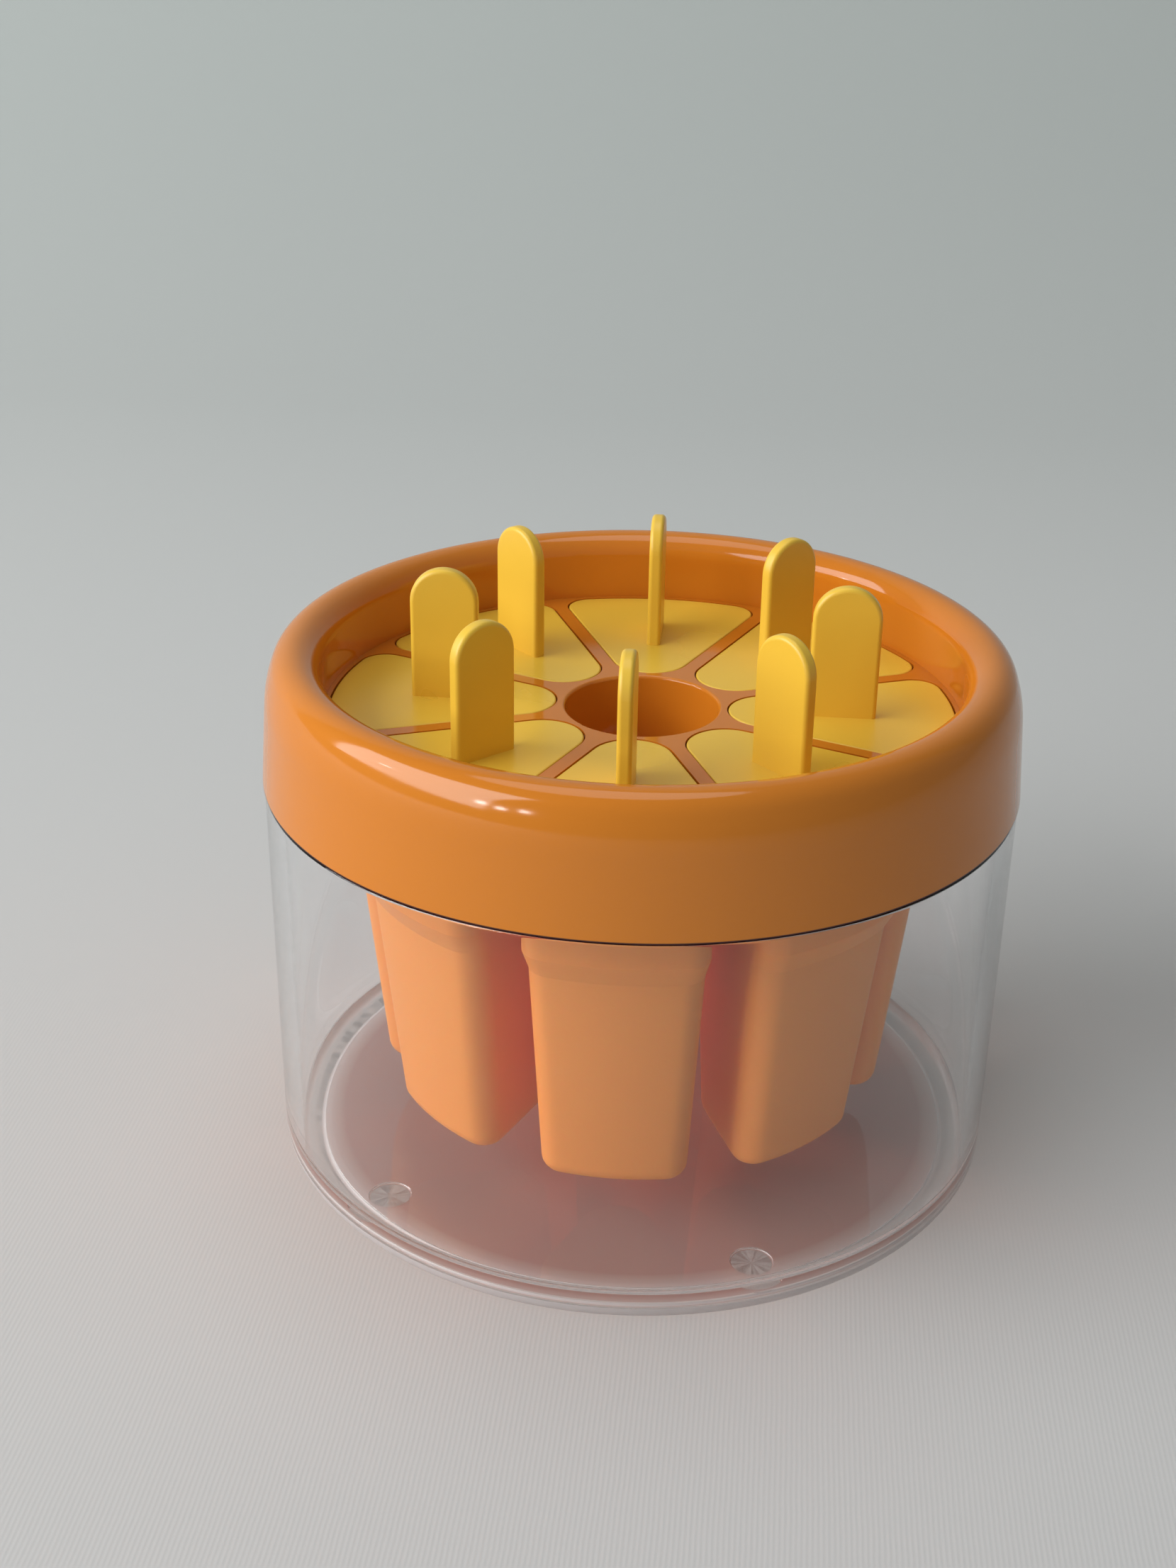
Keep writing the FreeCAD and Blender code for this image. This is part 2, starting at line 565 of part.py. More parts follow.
def sketch_tongue(body, name, side, centre, root, upward):
    """A straight tongue with a full round end, above or below the lid plate."""
    sketch = make_sketch(body, name, "XZ_Plane")
    middle, half, turn, start = size("stick_centre"), size(side), size(centre), size(root)
    angles = (0, 180) if upward else (180, 360)
    first, second = (middle + half, middle - half) if upward else (middle - half, middle + half)
    geometry = [
        line((first, start), (first, turn)),
        arc((middle, turn), half, *angles),
        line((second, turn), (second, start)),
        line((second, start), (first, start)),
    ]
    sketch.addGeometry(geometry, False)
    relate(sketch, [
        ("Tangent", 0, 2, 1, 1), ("Tangent", 1, 2, 2, 1), ("Coincident", 2, 2, 3, 1),
        ("Coincident", 3, 2, 0, 1), ("Vertical", 0), ("Vertical", 2), ("Horizontal", 3),
    ])
    drive(sketch, "Radius", (1,), side)
    drive(sketch, "DistanceX", (-1, 1, 1, 3), "stick_centre")
    drive(sketch, "DistanceY", (-1, 1, 1, 3), centre)
    drive(sketch, "DistanceY", (-1, 1, 0, 1), root)
    return sketch


def make_lid(number):
    """A lid: a wedge plate with a handle above it and a blade with grip holes in the well."""
    body = make_body("stick_lid_%d" % (number + 1))
    outline = sketch_wedge(body, "LidOutline", "lid", "ledge_height")
    pad(body, "Pad", "Plate", outline, "lid_thickness")

    handle_outline = sketch_tongue(body, "HandleOutline", "handle_side", "handle_centre",
                                   "ledge_height", True)
    handle = pad(body, "Pad", "Handle", handle_outline, "stick_thickness")
    handle.Midplane = True

    blade_outline = sketch_tongue(body, "BladeOutline", "blade_side", "blade_centre",
                                  "ledge_height", False)
    for index in range(2):
        hole_height = size("blade_centre") + index * size("grip_pitch")
        centre = Vector(size("stick_centre"), hole_height, 0)
        hole = blade_outline.addGeometry(
            Part.Circle(centre, Vector(0, 0, 1), size("grip_radius")), False)
        drive(blade_outline, "Radius", (hole,), "grip_radius")
        relate(blade_outline, [("Vertical", hole, 3, 1, 3)] if index else
               [("Coincident", hole, 3, 1, 3)])
        if index:
            drive(blade_outline, "DistanceY", (1, 3, hole, 3), "grip_pitch")
    blade = pad(body, "Pad", "Blade", blade_outline, "blade_thickness")
    blade.Midplane = True

    face, top = size("stick_thickness") / 2, size("tray_top")
    handle_side = size("handle_side")

    def on_handle(edge):
        box = edge.BoundBox
        flat = abs(box.YMax - box.YMin) < 0.01 and abs(abs(box.YMax) - face) < 0.01
        return flat and box.ZMax > top + handle_side

    def on_plate(edge):
        box = edge.BoundBox
        beside = abs(box.YMax) < face + 0.01 and abs(box.YMin) < face + 0.01
        near = box.XMin > size("stick_centre") - handle_side - 0.01
        return flat_at(edge, top) and not (beside and near and box.XMax < size("lid_outer") - 1)

    fillet(body, "HandleEdges", "stick_edge", on_handle)
    fillet(body, "PlateEdge", "lid_edge", on_plate)
    turn_to_cell(body, number)
    return body


bodies = [make_jar(), make_rim(), make_tray()]
for make_piece in (make_well, make_lid):
    for cell_number in range(int(size("cell_count"))):
        bodies.append(make_piece(cell_number))
document.recompute()

for item in document.Objects:
    if "Invalid" in item.State or "Error" in item.State:
        raise RuntimeError("%s did not build: %s" % (item.Label, item.State))

os.makedirs("parts", exist_ok=True)
for body in bodies:
    shape = body.Shape
    if not shape.isValid() or len(shape.Solids) != 1:
        raise RuntimeError("%s is not one valid solid" % body.Label)
    shape.exportStep(os.path.join("parts", body.Label + ".step"))
    print(body.Label, round(shape.Volume / 1000, 2), "cm3", shape.BoundBox)
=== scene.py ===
"""Ice pop mould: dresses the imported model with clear, orange and yellow plastic on a pale stage."""
import math

import bpy
from bpy.props import FloatProperty, FloatVectorProperty, IntProperty, PointerProperty
from mathutils import Matrix, Vector


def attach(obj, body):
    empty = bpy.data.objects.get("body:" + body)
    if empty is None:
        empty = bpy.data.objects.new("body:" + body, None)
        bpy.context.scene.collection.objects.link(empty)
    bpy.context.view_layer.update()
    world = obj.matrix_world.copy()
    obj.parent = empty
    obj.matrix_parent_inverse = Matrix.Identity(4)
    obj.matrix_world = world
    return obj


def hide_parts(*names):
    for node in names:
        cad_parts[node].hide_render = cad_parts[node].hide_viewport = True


bl_info = {
    "name": "Ice Pop Mould Studio",
    "version": (1, 0, 0),
    "blender": (4, 5, 0),
    "location": "View3D > Sidebar > Ice Pop",
    "description": "Dresses an ice pop mould in moulded plastic and sets a pale studio round it",
    "category": "Object",
}

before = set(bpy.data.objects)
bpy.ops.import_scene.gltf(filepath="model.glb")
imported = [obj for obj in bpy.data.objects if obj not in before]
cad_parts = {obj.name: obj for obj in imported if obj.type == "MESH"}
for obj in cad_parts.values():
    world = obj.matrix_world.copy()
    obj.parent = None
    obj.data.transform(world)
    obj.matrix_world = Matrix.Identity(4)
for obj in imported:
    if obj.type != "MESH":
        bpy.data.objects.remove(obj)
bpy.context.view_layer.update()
MM = 0.001

# Directions of the jar's feet in degrees. The first two show in the photo.
FOOT_ANGLES = (224, 296, 44, 116)

# Millimetres from the top of the rim down to the top of the wells, and to the throat's lower end.
WELL_TOP_DROP = 19.3
THROAT_DROP = 42.0

# Plans of a well in millimetres: reach of its tip, reach of its outer arc, half the gap to the next
# well, and the round of its outer corners.
END_PLAN = (27.7, 55.0, 4.9, 4.8)
WAIST_PLAN = (22.1, 60.4, 4.7, 4.8)
THROAT_PLAN = (21.3, 62.9, 4.5, 5.0)

# Turn and lift in degrees of the small lamps that the rim mirrors as sparkles.
PANES = ((-131, 12), (-125, 11), (-118, 12), (-167, 24))


def paint(red, green, blue):
    """A colour given as it looks on a screen, 0 to 255, as the linear values that shaders take."""
    values = []
    for part in (red, green, blue):
        part = part / 255
        values.append(part / 12.92 if part <= 0.04045 else ((part + 0.055) / 1.055) ** 2.4)
    return (*values, 1.0)


class JarSettings(bpy.types.PropertyGroup):
    """Sizes and finish of the clear jar."""
    height: FloatProperty(name="Height", description="Table to the shoulder", default=85.3 * MM,
                          unit="LENGTH")
    radius: FloatProperty(name="Radius", description="Outside, at the shoulder",
                          default=79.7 * MM, unit="LENGTH")
    wall: FloatProperty(name="Wall", description="Thickness of the wall", default=3.6 * MM,
                        unit="LENGTH")
    turns: IntProperty(name="Facets", description="Steps of the turned shape", default=192)
    tint: FloatVectorProperty(name="Tint", description="Colour of the clear plastic", size=4,
                              default=(0.985, 0.985, 0.99, 1.0), subtype="COLOR")
    frost: FloatVectorProperty(name="Frost", description="Colour of the frosted standing edge",
                               size=4, default=paint(204, 197, 196), subtype="COLOR")
    # Painted shade: the mould's shade on the jar's floor, reddened by light come through the orange
    # plastic.
    shade: FloatVectorProperty(name="Floor shade", description="Colour cast of the floor",
                               size=4, default=paint(168, 130, 123), subtype="COLOR")


class MouldSettings(bpy.types.PropertyGroup):
    """Sizes and colours of the ring and the wells."""
    radius: FloatProperty(name="Radius", description="Lower edge of the skirt",
                          default=80.0 * MM, unit="LENGTH")
    seam: FloatProperty(name="Seam", description="Table to the lower edge of the skirt",
                        default=85.3 * MM, unit="LENGTH")
    top: FloatProperty(name="Top", description="Table to the top of the rim",
                       default=113.2 * MM, unit="LENGTH")
    well_end: FloatProperty(name="Well end", description="Table to the underside of a well",
                            default=16.0 * MM, unit="LENGTH")
    well_wall: FloatProperty(name="Well wall", description="Thickness of a well",
                             default=1.8 * MM, unit="LENGTH")
    draft: FloatProperty(name="Draft", description="Lean of the skirt",
                         default=math.radians(4), subtype="ANGLE")
    turns: IntProperty(name="Facets", description="Steps of the turned shape", default=288)
    ring: FloatVectorProperty(name="Ring", description="Glossy plastic of the ring", size=4,
                              default=paint(208, 123, 32), subtype="COLOR")
    wells: FloatVectorProperty(name="Wells", description="Satin plastic of the wells", size=4,
                               default=paint(240, 148, 70), subtype="COLOR")


class LidSettings(bpy.types.PropertyGroup):
    """Colour of the lids and their sticks."""
    colour: FloatVectorProperty(name="Lids", description="Plastic of the lids", size=4,
                                default=paint(238, 195, 66), subtype="COLOR")


class StageSettings(bpy.types.PropertyGroup):
    """Floor, backdrop, lights and camera."""
    floor: FloatVectorProperty(name="Floor", description="Colour of the table", size=4,
                               default=paint(204, 204, 203), subtype="COLOR")
    backdrop: FloatVectorProperty(name="Backdrop", description="Colour behind the object",
                                  size=4, default=paint(175, 181, 178), subtype="COLOR")
    lens: FloatProperty(name="Lens", description="Focal length for a 36 mm tall frame",
                        default=46.47, min=10)


def clear_selection():
    """Leaves nothing selected, so that an operator acts on the new piece alone."""
    if bpy.context.object and bpy.context.object.mode != "OBJECT":
        bpy.ops.object.mode_set(mode="OBJECT")
    bpy.ops.object.select_all(action="DESELECT")


def curve_points(centre, radius, start, end, count):
    """Points of an arc in a section, from one angle in degrees to another."""
    angles = [math.radians(start + (end - start) * step / count) for step in range(count + 1)]
    return [(centre[0] + radius * math.cos(a), centre[1] + radius * math.sin(a)) for a in angles]


def held(section, grip=0.12):
    """The section with a point close to each end of a run of more than 12 grips.

    The extra points keep the smooth shading true beside an edge.
    """
    points = [section[0]]
    for start, end in zip(section, section[1:]):
        start, end = Vector(start), Vector(end)
        if (end - start).length > 12 * grip:
            step = (end - start).normalized() * grip
            points += [tuple(start + step), tuple(end - step)]
        points.append(tuple(end))
    return points


def lathe(name, section, turns):
    """A turned piece: a chain of points, radius and height in millimetres, spun about Z."""
    clear_selection()
    bpy.ops.mesh.primitive_plane_add(size=MM, location=(0, 0, 0))
    piece = bpy.context.object
    piece.name = piece.data.name = name
    bpy.ops.object.mode_set(mode="EDIT")
    bpy.ops.mesh.select_mode(type="VERT")
    bpy.ops.mesh.select_all(action="SELECT")
    bpy.ops.mesh.merge(type="CENTER")
    place = Vector((0, 0, 0))
    for number, (radius, height) in enumerate(held(section)):
        step = Vector((radius * MM, 0, height * MM)) - place
        place += step
        if number:
            bpy.ops.mesh.extrude_region_move(TRANSFORM_OT_translate={"value": step})
        else:
            bpy.ops.transform.translate(value=step)
    bpy.ops.mesh.select_all(action="SELECT")
    bpy.ops.mesh.spin(steps=turns, angle=2 * math.pi, center=(0, 0, 0), axis=(0, 0, 1))
    bpy.ops.mesh.select_all(action="SELECT")
    bpy.ops.mesh.remove_doubles(threshold=0.002 * MM)
    bpy.ops.mesh.normals_make_consistent(inside=False)
    bpy.ops.object.mode_set(mode="OBJECT")
    if len(piece.data.polygons) < turns:
        raise RuntimeError("%s came out without its faces" % name)
    return piece


def loft(name, rings, grip=0.15):
    """A closed piece: rings of points in millimetres, each extruded from the one before.

    A run of more than 20 grips gets a ring close to each end, so that shading stays true there.
    """
    count = len(rings[0])
    chain = [rings[0]]
    for start, end in zip(rings, rings[1:]):
        length = abs(end[0][2] - start[0][2])
        if length > 20 * grip:
            for share in (grip / length, 1 - grip / length):
                chain.append([tuple(Vector(a).lerp(Vector(b), share)) for a, b in zip(start, end)])
        chain.append(end)
    clear_selection()
    bpy.ops.mesh.primitive_circle_add(vertices=count, radius=MM, location=(0, 0, 0))
    piece = bpy.context.object
    piece.name = piece.data.name = name
    spots = {index: index for index in range(count)}
    for number, ring in enumerate(chain):
        if number:
            # The extruded ring still lies on the old one, which tells each new point its spot.
            before = {tuple(piece.data.vertices[i].co): spot for i, spot in spots.items()}
            bpy.ops.object.mode_set(mode="EDIT")
            bpy.ops.mesh.extrude_region_move()
            bpy.ops.object.mode_set(mode="OBJECT")
            spots = {v.index: before[tuple(v.co)] for v in piece.data.vertices if v.select}
        for index, spot in spots.items():
            piece.data.vertices[index].co = Vector(ring[spot]) * MM
        bpy.ops.object.mode_set(mode="EDIT")
        if number == 0:
            bpy.ops.mesh.select_mode(type="EDGE")
            bpy.ops.mesh.select_all(action="SELECT")
        if number == len(chain) - 1:
            bpy.ops.mesh.edge_face_add()
        bpy.ops.object.mode_set(mode="OBJECT")
    for edge in piece.data.edges:
        edge.select = all(index < count for index in edge.vertices)
    for face in piece.data.polygons:
        face.select = False
    bpy.ops.object.mode_set(mode="EDIT")
    bpy.ops.mesh.edge_face_add()
    bpy.ops.mesh.select_all(action="SELECT")
    bpy.ops.mesh.normals_make_consistent(inside=False)
    bpy.ops.object.mode_set(mode="OBJECT")
    if len(piece.data.polygons) < count * (len(chain) - 1) + 2:
        raise RuntimeError("%s came out without all its faces" % name)
    return piece


def copied(piece, name):
    """Another piece with its own mesh."""
    clear_selection()
    piece.select_set(True)
    bpy.context.view_layer.objects.active = piece
    bpy.ops.object.duplicate(linked=False)
    twin = bpy.context.object
    twin.name = twin.data.name = name
    return twin


def join_solid(body, extra):
    """Adds one closed piece to another, with nothing left inside."""
    faces = len(body.data.polygons)
    clear_selection()
    bpy.context.view_layer.objects.active = body
    union = body.modifiers.new("join", "BOOLEAN")
    union.operation = "UNION"
    union.solver = "EXACT"
    union.object = extra
    bpy.ops.object.modifier_apply(modifier="join")
    if len(body.data.polygons) <= faces:
        raise RuntimeError("%s could not be joined to %s" % (extra.name, body.name))
    bpy.data.objects.remove(extra)


def smooth(piece, angle=30):
    """Smooth shading with sharp edges past an angle in degrees."""
    clear_selection()
    piece.select_set(True)
    bpy.context.view_layer.objects.active = piece
    bpy.ops.object.shade_smooth_by_angle(angle=math.radians(angle))


def shader_of(material):
    """The shader that a new material comes with."""
    return material.node_tree.nodes["Principled BSDF"]


def new_material(name, colour, **values):
    """A plastic with its constant values on the shader's own sockets."""
    material = bpy.data.materials.new(name)
    material.use_nodes = True
    material.diffuse_color = colour
    shader = shader_of(material)
    shader.inputs["Base Color"].default_value = colour
    for key, value in values.items():
        shader.inputs[key.replace("_", " ")].default_value = value
    return material


def node(owner, kind, **values):
    """A new node with input values. An underscore in a name stands for a space."""
    made = owner.node_tree.nodes.new(kind)
    for key, value in values.items():
        made.inputs[key.replace("_", " ")].default_value = value
    return made


def link(owner, source, output, target, socket):
    """Joins an output of one node to an input of another, by name or number."""
    owner.node_tree.links.new(source.outputs[output], target.inputs[socket])


def ramp(owner, low, high, start=0.0, end=1.0):
    """A node that turns a value between low and high into one between start and end."""
    return node(owner, "ShaderNodeMapRange", From_Min=low, From_Max=high, To_Min=start, To_Max=end)


def mix_colours(material, factor, under, over):
    """Blends two base colours by the result of a ramp."""
    mix = node(material, "ShaderNodeMix")
    mix.data_type = "RGBA"
    mix.inputs["A"].default_value = under
    mix.inputs["B"].default_value = over
    link(material, factor, "Result", mix, "Factor")
    link(material, mix, "Result", shader_of(material), "Base Color")


def split_rays(owner, kinds, usual, other, output):
    """Shows two kinds of rays the other shader, and all the rest the usual one."""
    path = node(owner, "ShaderNodeLightPath")
    either = node(owner, "ShaderNodeMath")
    either.operation = "MAXIMUM"
    for socket, kind in enumerate(kinds):
        link(owner, path, "Is %s Ray" % kind, either, socket)
    mix = node(owner, "ShaderNodeMixShader")
    link(owner, either, "Value", mix, 0)
    link(owner, usual, 0, mix, 1)
    link(owner, other, 0, mix, 2)
    link(owner, mix, "Shader", output, "Surface")


def moulded_finish(material, scale, depth, rough_low, rough_high):
    """Moulded plastic: a fine grain in the surface and a slow change of gloss."""
    shader = shader_of(material)
    place = node(material, "ShaderNodeTexCoord")
    grain = node(material, "ShaderNodeTexNoise", Scale=scale, Detail=4.0, Roughness=0.55)
    link(material, place, "Object", grain, "Vector")
    bump = node(material, "ShaderNodeBump", Strength=0.25, Distance=depth)
    link(material, grain, "Fac", bump, "Height")
    link(material, bump, "Normal", shader, "Normal")
    patches = node(material, "ShaderNodeTexNoise", Scale=28.0, Detail=3.0)
    link(material, place, "Object", patches, "Vector")
    gloss = ramp(material, 0.35, 0.65, rough_low, rough_high)
    link(material, patches, "Fac", gloss, "Value")
    link(material, gloss, "Result", shader, "Roughness")


def pass_lamps(material):
    """Lets lamp light and bounced light through clear plastic, as a thin clear wall does."""
    open_air = node(material, "ShaderNodeBsdfTransparent", Color=(0.98, 0.965, 0.96, 1.0))
    split_rays(material, ("Shadow", "Diffuse"), shader_of(material), open_air,
               material.node_tree.nodes["Material Output"])


def two_tone(material, measure, low, high, under, over):
    """One base colour below a height (Z) or a reach (Value), another above, and a blend between."""
    place = node(material, "ShaderNodeTexCoord")
    if measure == "Z":
        ruler = node(material, "ShaderNodeSeparateXYZ")
    else:
        ruler = node(material, "ShaderNodeVectorMath")
        ruler.operation = "LENGTH"
    link(material, place, "Object", ruler, 0)
    line = ramp(material, low, high)
    link(material, ruler, measure, line, "Value")
    mix_colours(material, line, under, over)


def dress(node_name, material):
    """Gives a CAD node its material."""
    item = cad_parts[node_name]
    if not item.material_slots:
        item.data.materials.append(material)
    for place in item.material_slots:
        place.material = material


def nodes_called(start):
    """Names of the CAD nodes that begin with a word, in order."""
    names = sorted(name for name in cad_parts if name.startswith(start))
    if not names:
        raise RuntimeError("the frame has no node that begins with %s" % start)
    return names


class ICEPOP_OT_clear_jar(bpy.types.Operator):
    """Turns the clear jar and gives it clear plastic"""
    bl_idname = "icepop.clear_jar"
    bl_label = "Clear jar"

    def execute(self, context):
        jar = context.scene.ice_pop_jar
        body = lathe("clear_jar", self.section(jar), jar.turns)
        for foot in self.feet(jar):
            join_solid(body, foot)
        self.dress_parts(body, jar)
        smooth(body, 35)
        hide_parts("storage_jar")
        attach(body, "root")
        return {"FINISHED"}

    def section(self, jar):
        """Section of the jar: recess, standing band, wall, shoulder, collar and the inside."""
        height, radius, wall = jar.height / MM, jar.radius / MM, jar.wall / MM
        recess, recess_edge, band, band_round = 1.0, 69.0, 71.4, 0.9
        base, base_round, shoulder_round = radius - 0.45, 3.2, 0.5
        collar, top, lip_round = 77.45, height + 8.5, 0.4
        inside, floor, floor_round = radius - wall, 4.0, 3.0
        inside_base, wall_lean = inside - 0.47, 0.3
        points = [(0, recess), (recess_edge, recess)]
        points += curve_points((band, band_round), band_round, 180, 270, 4)
        points += curve_points((base - base_round, base_round), base_round,
                               270, 360 - wall_lean, 12)
        points += curve_points((radius - shoulder_round, height - shoulder_round),
                               shoulder_round, 0, 90, 4)
        points += [(collar, height)]
        points += curve_points((collar - lip_round, top - lip_round), lip_round, 0, 90, 4)
        points += curve_points((inside + lip_round, top - lip_round), lip_round, 90, 180, 4)
        points += curve_points((inside_base - floor_round, floor + floor_round), floor_round,
                               360 - wall_lean, 270, 10)
        points += [(0, floor)]
        return points

    def feet(self, jar):
        """Four feet in the recess under the floor, each a short turned stud with a round edge."""
        radius, edge, height, facets = 4.4, 0.3, 2.0, 40
        stud = lathe("jar_foot", [(0, 0)] + curve_points((radius - edge, edge), edge, 270, 360, 4)
                     + [(radius, height), (0, height)], facets)
        studs = [stud] + [copied(stud, "jar_foot") for _ in FOOT_ANGLES[1:]]
        reach = jar.radius - 14.2 * MM
        for each, angle in zip(studs, FOOT_ANGLES):
            turn = math.radians(angle)
            shift = Matrix.Translation((reach * math.cos(turn), reach * math.sin(turn), 0))
            each.data.transform(shift)
        return studs

    def dress_parts(self, body, jar):
        """Clear plastic, frosted at the standing edge, and under the floor frosted with painted
        shade.

        Light that runs along inside the floor ends at these two, so the base shows no black line.
        """
        edge_top, edge_reach, under_top, facing_down = 3.3, 70.6, 0.98, -0.8
        shade_end, frost_start = 66.0 * MM, 71.5 * MM
        clear = new_material("clear_plastic", jar.tint, Roughness=0.02, IOR=1.49,
                             Transmission_Weight=1.0)
        pass_lamps(clear)
        frosted = self.frosted("frosted_base", jar.frost, 0.25)
        # Painted shade: the floor's colour is the mould's shade, reddened by light come through the
        # orange plastic, fading to the frost colour towards the standing edge.
        shaded = self.frosted("shaded_floor", jar.shade, 0.3)
        two_tone(shaded, "Value", shade_end, frost_start, jar.shade, jar.frost)
        for material in (clear, frosted, shaded):
            body.data.materials.append(material)
        for face in body.data.polygons:
            if face.center.z > edge_top * MM:
                continue
            if face.center.xy.length / MM > edge_reach:
                face.material_index = 1
            # Faces under the floor and the ends of the feet take the floor's painted shade.
            elif face.center.z > under_top * MM or face.normal.z < facing_down:
                face.material_index = 2

    def frosted(self, name, colour, clearness):
        """Plastic with a frosted face that lets part of the light through."""
        material = new_material(name, colour, Roughness=0.35, IOR=1.49,
                                Transmission_Weight=clearness)
        moulded_finish(material, scale=700.0, depth=0.00002, rough_low=0.3, rough_high=0.4)
        pass_lamps(material)
        return material


class ICEPOP_OT_mould_ring(bpy.types.Operator):
    """Turns the rolled rim and gives rim, tray and hub cup glossy orange plastic"""
    bl_idname = "icepop.mould_ring"
    bl_label = "Mould ring"

    def execute(self, context):
        mould = context.scene.ice_pop_mould
        glossy = new_material("glossy_orange", mould.ring, IOR=1.5)
        moulded_finish(glossy, scale=900.0, depth=0.00001, rough_low=0.07, rough_high=0.13)
        rim = lathe("rolled_rim", self.section(mould), mould.turns)
        # The rim's plastic carries a painted shadow line along the skirt's lower edge.
        rim.data.materials.append(self.with_painted_gap_shadow(glossy, mould))
        smooth(rim, 35)
        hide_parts("mould_rim")
        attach(rim, "root")
        dress("mould_tray", glossy)
        return {"FINISHED"}

    def with_painted_gap_shadow(self, glossy, mould):
        """The glossy plastic with a painted shadow: a thin maroon line where the gap between skirt
        and jar lies in shade.
        """
        shadow_top, shadow_end, gap_shadow_colour = 0.6 * MM, 0.75 * MM, paint(58, 18, 14)
        material = glossy.copy()
        material.name = "rim_orange"
        two_tone(material, "Z", mould.seam + shadow_top, mould.seam + shadow_end, gap_shadow_colour, mould.ring)
        return material

    def section(self, mould):
        """Section of the rim: skirt, gentle side, rolled top, bowl wall and the channel inside."""
        radius, bottom, top, draft = mould.radius / MM, mould.seam / MM, mould.top / MM, mould.draft
        # Rounds of the side and of the crown towards the skirt and the bowl, then of the lower edge.
        side, outer, inner, edge_round, broken = 26.0, 5.0, 5.2, 0.4, 0.2
        # Reach of the bowl, walls beside it and of the skirt, heights of the tray and of the roof.
        bowl, wall, thin = radius - 12.8, 2.2, 1.8
        tray, middle = top - WELL_TOP_DROP, top - 6.2
        up = Vector((-math.sin(draft), math.cos(draft)))
        inward = Vector((-math.cos(draft), -math.sin(draft)))
        edge = Vector((radius, bottom))
        crown = Vector((bowl + inner, top - outer))
        reach = edge + inward * side - crown
        along = reach.dot(up)
        run = -along - math.sqrt(along ** 2 - reach.length_squared + (side - outer) ** 2)
        flank = edge + up * run + inward * side
        lean = math.degrees(draft)
        meeting = math.degrees(math.atan2(crown.y - flank.y, crown.x - flank.x))
        channel = bowl + wall
        lip = radius - thin
        roof = (math.cos(draft) * (lip - channel) - math.sin(draft) * (middle - bottom)) \
            / (1 + math.cos(draft))
        points = [(lip + broken, bottom), (radius - edge_round, bottom)]
        points += curve_points((radius - edge_round, bottom + edge_round), edge_round, 280, lean, 5)
        points += curve_points(flank, side, lean, meeting, 14)
        points += curve_points(crown, outer, meeting, 90, 16)[1:]
        points += curve_points((bowl + inner, top - inner), inner, 90, 180, 20)[1:]
        points += [(bowl, tray), (channel, tray)]
        points += curve_points((channel + roof, middle), roof, 180, lean, 14)
        points += [(lip, bottom + broken), (lip + broken, bottom)]
        return points


class ICEPOP_OT_ice_wells(bpy.types.Operator):
    """Models a hollow ice well with its shoulder, and sets eight of them round the tray"""
    bl_idname = "icepop.ice_wells"
    bl_label = "Ice wells"

    def execute(self, context):
        mould = context.scene.ice_pop_mould
        satin = new_material("satin_orange", mould.wells, IOR=1.5, Specular_IOR_Level=0.35,
                             Subsurface_Weight=0.3, Subsurface_Scale=0.006)
        shader_of(satin).inputs["Subsurface Radius"].default_value = (1.0, 0.22, 0.08)
        moulded_finish(satin, scale=1400.0, depth=0.00002, rough_low=0.42, rough_high=0.52)
        well = self.well(mould)
        well.data.materials.append(satin)
        smooth(well, 35)
        names = nodes_called("ice_well")
        wells = [well] + [copied(well, "ice_cup") for _ in names[1:]]
        for number, (piece, name) in enumerate(zip(wells, names)):
            piece.data.transform(Matrix.Rotation(2 * math.pi * number / len(names), 4, "Z"))
            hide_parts(name)
            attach(piece, "root")
        return {"FINISHED"}

    def well(self, mould):
        """Rings from the underside up the outside, over the top and down the bore to its floor."""
        wall, low, top = mould.well_wall / MM, mould.well_end / MM, mould.top / MM - WELL_TOP_DROP
        throat = mould.top / MM - THROAT_DROP
        waist, outer_round, inner_round = throat - 5.0, 3.2, 1.8
        levels = ((low, END_PLAN), (waist, WAIST_PLAN), (throat, THROAT_PLAN), (top, THROAT_PLAN))
        rings = self.rounded(levels, low, 0, outer_round, (0, 15, 30, 45, 60, 75, 90))
        for height in (waist, throat, top):
            rings.append(self.wedge(levels, height, 0))
        for height in (top, throat + wall / 2, waist + wall / 2):
            rings.append(self.wedge(levels, height, wall))
        rings += self.rounded(levels, low + wall, wall, inner_round, (90, 67.5, 45, 22.5, 0))
        return loft("ice_cup", rings)

    def rounded(self, levels, floor, inset, radius, turns):
        """Rings round the edge of a bottom, one for each angle in degrees."""
        rings = []
        for turn in map(math.radians, turns):
            rings.append(self.wedge(levels, floor + radius * (1 - math.cos(turn)),
                                    inset + radius * (1 - math.sin(turn))))
        return rings

    def wedge(self, levels, height, inset):
        """Plan of a cell at a height, round at its tip and its two corners, wide end at -Y."""
        least_corner = 0.6
        for (low, first), (high, second) in zip(levels, levels[1:]):
            if height <= high:
                break
        share = (height - low) / (high - low)
        tip, outer, gap, corner = (a + (b - a) * share for a, b in zip(first, second))
        tip, outer, gap = tip + inset, outer - inset, gap + inset
        corner = max(corner - inset, least_corner)
        half = math.pi / 8
        nose = (tip - gap) / (1 - math.sin(half))
        along = math.sqrt((outer - corner) ** 2 - (gap + corner) ** 2)
        centre = along * Vector((math.sin(half), -math.cos(half))) \
            + (gap + corner) * Vector((-math.cos(half), -math.sin(half)))
        turn = math.degrees(math.atan2(centre.y, centre.x))
        side = curve_points((0, -nose), nose - tip, 90, math.degrees(half), 10)
        bend = curve_points(centre, corner, math.degrees(half), turn, 10)
        side += held([side[-1], bend[0]])[1:]
        side += bend[1:]
        side += curve_points((0, 0), outer, turn, -90, 8)[1:]
        return [(x, y, height) for x, y in side + [(-x, y) for x, y in side[-2:0:-1]]]


